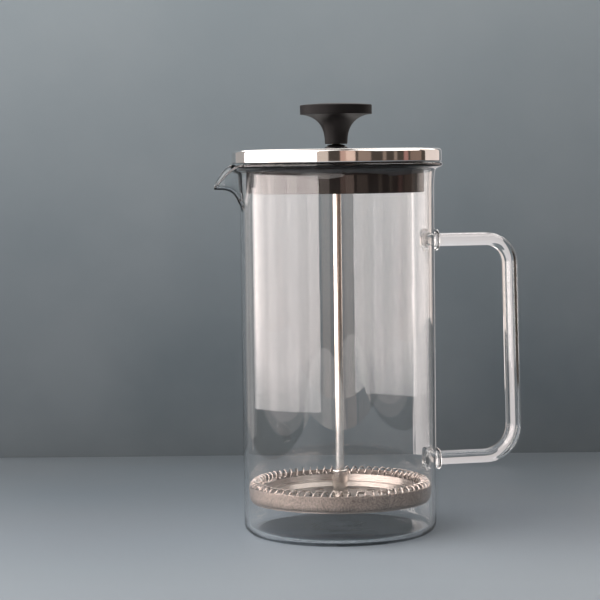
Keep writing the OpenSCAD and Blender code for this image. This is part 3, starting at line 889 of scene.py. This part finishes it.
clamp_nut = nut_surface("clamp_hex_nut", "clamp_nut", CLAMP_BORE)
finish_piece(clamp_nut, nut_steel, "plunger", "zinc_steel", "clamp_nut")
clamp_washer = washer_surface("clamp_flat_washer", "clamp_washer", CLAMP_BORE)
finish_piece(clamp_washer, nut_steel, "plunger", "zinc_steel", "clamp_washer")

# CAD nodes that keep their own shape
PLAIN_NODES = (("lid_base", sheet_steel), ("spring_plate", sheet_steel), ("support_plate", sheet_steel),
               ("knob_insert", insert_brass))
for node, material in PLAIN_NODES:
    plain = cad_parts[node]
    plain.data.materials.clear()
    plain.data.materials.append(material)

# ---------------------------------------------------------------- camera

CAM_TURN = math.radians(-15)
CAM_AWAY = 1.05
CAM_EYE_Z = 0.190
CAM_PITCH = math.radians(-3.77)
CAM_ASIDE = math.radians(1.025)
CAM_ROLL = math.radians(0.72)
LENS = 122.0
SENSOR_W = 36.0

camera = bpy.data.objects.new("camera", bpy.data.cameras.new("camera"))
bpy.context.scene.collection.objects.link(camera)
camera.data.lens = LENS
camera.data.sensor_width = SENSOR_W
camera.location = (math.sin(CAM_TURN) * CAM_AWAY, -math.cos(CAM_TURN) * CAM_AWAY, CAM_EYE_Z)
camera.rotation_euler = (math.pi / 2 + CAM_PITCH, CAM_ROLL, CAM_TURN + CAM_ASIDE)
bpy.context.scene.camera = camera

# ---------------------------------------------------------------- stage and light

BOARD_BACK = 0.28
BOARD_SIDES = (-0.26, 0.2)
BOARD_TALL = 0.36
FLOOR_SIDES = (-0.33, 1.2)
FLOOR_DEPTHS = (-0.5, 1.2)
HEADING = (math.sin(-CAM_TURN), math.cos(CAM_TURN))


def stage_material(name, tones, reach, one_sided):
    """Matt paint with a soft mottle. Its tone runs through a row of colours along one measure of the place,
    a painted gradient of light and shade.

    tones is a list of (place, colour), reach a function of the shader that gives the measure, 0 to 1.
    With one_sided, the back is clear, for views from behind.
    """
    s = Shader(name)
    mottle = s.noise(9.0, 4.0)
    place = reach(s) + s.fit(mottle, 0.3, 0.7, -0.03, 0.03)
    ramp = s.node("ShaderNodeValToRGB", values={0: place}, stops=tones)
    paint = s.node("ShaderNodeBsdfPrincipled", values={
        "Base Color": s.mix(s.fit(mottle, 0.35, 0.65, 0, 0.05), ramp.outputs[0], (0.5, 0.5, 0.5)),
        "Roughness": 0.65, "Specular IOR Level": 0.3,
        "Normal": s.bump(s.noise(500.0, 3.0), 0.2 * MM, 0.1)}).outputs[0]
    if not one_sided:
        return s.out(paint)
    back = s.node("ShaderNodeNewGeometry").outputs["Backfacing"]
    clear = s.node("ShaderNodeBsdfTransparent").outputs[0]
    return s.out(s.node("ShaderNodeMixShader", values={0: back, 1: paint, 2: clear}).outputs[0])


def sheet(name, sides, run, material, rows=40):
    """A flat grid: rows of points from side to side, square to the camera's heading, at each place of a run.

    run is an array of (depth, height) along that heading.
    """
    side = np.linspace(*sides, rows)
    right = np.array([math.cos(CAM_TURN), math.sin(CAM_TURN), 0])
    back = np.array([*HEADING, 0])
    depth, height = run[:, 0], run[:, 1]
    points = (side[None, :, None] * right + depth[:, None, None] * back
              + height[:, None, None] * np.array([0, 0, 1.0]))
    mesh = bpy.data.meshes.new(name)
    mesh.from_pydata(points.reshape(-1, 3).tolist(), [], grid_quads(len(run), rows, False, False).tolist())
    piece = bpy.data.objects.new(name, mesh)
    bpy.context.scene.collection.objects.link(piece)
    mesh.materials.append(material)
    return piece


def floor_share(s):
    """How far back a place on the floor is along the camera's heading, 0 in front to 1 at the board."""
    return s.fit(s.x * HEADING[0] + s.y * HEADING[1], -0.3, BOARD_BACK)


def board_share(s):
    """How high a place on the board is, 0 at the floor to 1."""
    return s.fit(s.z, 0.0, 0.4)


# Painted shade: the floor's colour darkens from the front towards the board at the back
floor_shade_tones = [(0.0, (0.325, 0.38, 0.425)), (0.28, (0.29, 0.35, 0.395)), (0.5, (0.225, 0.275, 0.317)),
               (0.72, (0.16, 0.2, 0.23)), (0.95, (0.12, 0.15, 0.17))]
# Painted light and shade: the board's colour is darkest at its foot by the floor and lightest at the top
board_shade_tones = [(0.0, (0.072, 0.093, 0.105)), (0.1, (0.088, 0.115, 0.132)), (0.35, (0.148, 0.188, 0.212)),
               (0.65, (0.225, 0.28, 0.31)), (0.95, (0.3, 0.37, 0.405))]
floor_paint_and_shade = stage_material("floor_with_painted_shade", floor_shade_tones, floor_share, False)
board_paint_and_shade = stage_material("board_with_painted_shade", board_shade_tones, board_share, True)
floor_run = np.stack([np.linspace(*FLOOR_DEPTHS, 60), np.zeros(60)], -1)
board_run = np.stack([np.full(40, BOARD_BACK), np.linspace(0, BOARD_TALL, 40)], -1)
sheet("floor", FLOOR_SIDES, floor_run, floor_paint_and_shade)
sheet("backdrop", BOARD_SIDES, board_run, board_paint_and_shade)


def panel(name, turn, sizes, away, middle_z, radiance, tint, diffuse=True, seen=False, aim_z=None,
          shape="RECTANGLE"):
    """A soft lamp that faces the press from a bearing, in degrees as the camera's.

    Its energy is the radiance times pi times its area. Without diffuse it shows only in reflections and in
    glass. Only with seen does it show in plain view.
    """
    lamp = bpy.data.lights.new(name, "AREA")
    lamp.shape = shape
    lamp.size, lamp.size_y = sizes
    lamp.energy = radiance * math.pi * sizes[0] * sizes[1] * (math.pi / 4 if shape == "ELLIPSE" else 1)
    lamp.color = tint
    holder = bpy.data.objects.new(name, lamp)
    a = math.radians(turn)
    holder.location = (math.sin(a) * away, -math.cos(a) * away, middle_z)
    aim = Vector((0, 0, middle_z if aim_z is None else aim_z)) - holder.location
    holder.rotation_euler = aim.to_track_quat("-Z", "Y").to_euler()
    holder.visible_camera, holder.visible_diffuse = seen, diffuse
    bpy.context.scene.collection.objects.link(holder)
    return holder


ROSE = (1.0, 0.86, 0.82)

# Window panes: bearing and radiance
PANES = ((-126, 2.6), (-112, 2.0), (-98, 3.0), (-84, 2.4), (-70, 3.1), (-57, 2.2), (-43, 2.8))
for number, (turn, radiance) in enumerate(PANES):
    panel("window_%d" % number, turn, (0.31, 2.1), 1.3, 0.965, radiance, (1.0, 0.93, 0.91), seen=True)

# Sheens of the same window, for reflections only, whose feet step up one behind the other
SHEEN_FEET = (-0.115, -0.1, -0.085, -0.07, -0.055)
for number, foot in enumerate(SHEEN_FEET):
    panel("sheen_%d" % number, -84, (3.0, 2.0), 1.32 + 0.01 * number, 1.0 + foot, 0.56, ROSE, diffuse=False)

panel("front_low", -32, (1.5, 0.34), 1.5, -0.2, 1.2, (1.0, 0.95, 0.93), diffuse=False, shape="ELLIPSE")
panel("overhead", -60, (1.3, 1.0), 0.7, 1.3, 1.65, (1.0, 0.97, 0.96), aim_z=0.1)
panel("top_sheen", 60, (1.6, 1.2), 0.9, 1.1, 3.0, (1.0, 0.97, 0.95), diffuse=False, aim_z=0.1)
panel("back_sheen", 165, (1.8, 0.7), 1.1, 1.0, 4.0, (1.0, 0.97, 0.95), diffuse=False, aim_z=0.15)
panel("edge_right", 145, (0.05, 0.34), 0.25, 0.175, 0.5, (1.0, 0.9, 0.88), diffuse=False)

# Tall strips of the room, for the glass and the steel: bearing, spread in degrees, radiance and tint
STRIPS = (
    (-29, 11, 0.62, (1.0, 0.84, 0.74)),
    (-8, 6, 0.5, (1.0, 0.62, 0.5)),
    (0, 10, 0.76, (1.0, 0.72, 0.6)),
    (15, 14, 0.24, (1.0, 0.72, 0.58)),
    (37.5, 4, 0.22, (1.0, 0.74, 0.6)),
    (51, 4, 0.22, (1.0, 0.76, 0.62)),
    (65, 6, 0.34, (1.0, 0.45, 0.4)),
    (80, 18, 0.17, (1.0, 0.65, 0.52)),
    (121.5, 50, 0.82, (1.0, 0.87, 0.81)),
    (-150, 34, 0.36, (1.0, 0.98, 0.98)))
STRIP_AWAY = 1.5
for number, (turn, spread, radiance, tint) in enumerate(STRIPS):
    wide = 2 * STRIP_AWAY * math.tan(math.radians(spread / 2))
    panel("room_%d" % number, turn, (wide, 1.5), STRIP_AWAY, 0.6, radiance, tint)

ROOM_TINT = (0.075, 0.06, 0.05, 1)
world = bpy.data.worlds.new("room")
bpy.context.scene.world = world
world.use_nodes = True
world.node_tree.nodes["Background"].inputs["Color"].default_value = ROOM_TINT
world.node_tree.nodes["Background"].inputs["Strength"].default_value = 1.0
bpy.context.scene.view_settings.view_transform = "Standard"
